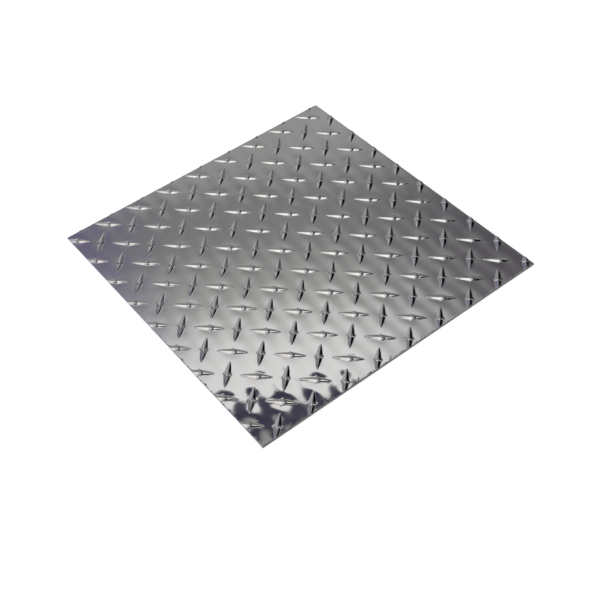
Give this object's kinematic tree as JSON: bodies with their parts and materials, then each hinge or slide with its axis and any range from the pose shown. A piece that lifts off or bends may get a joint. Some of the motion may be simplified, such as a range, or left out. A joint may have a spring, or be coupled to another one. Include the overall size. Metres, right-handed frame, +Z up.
{
  "type": "checker steel plate",
  "caption": "Sheet of rolled steel floor plate, flat below, with two interleaved lattices of raised pointed lugs on top.",
  "frame": {"origin": "middle of the flat underside", "axes": "+X and +Y along the sheared edges, with the lugs leaning 45 degrees to them; +Z up out of the lugged face"},
  "size_m": [0.3048, 0.2944, 0.0034],
  "materials": {
    "polished_steel": "bright rolled and polished, near mirror"
  },
  "bodies": {
    "root": {"checker_plate": "polished_steel"}
  },
  "joints": []
}
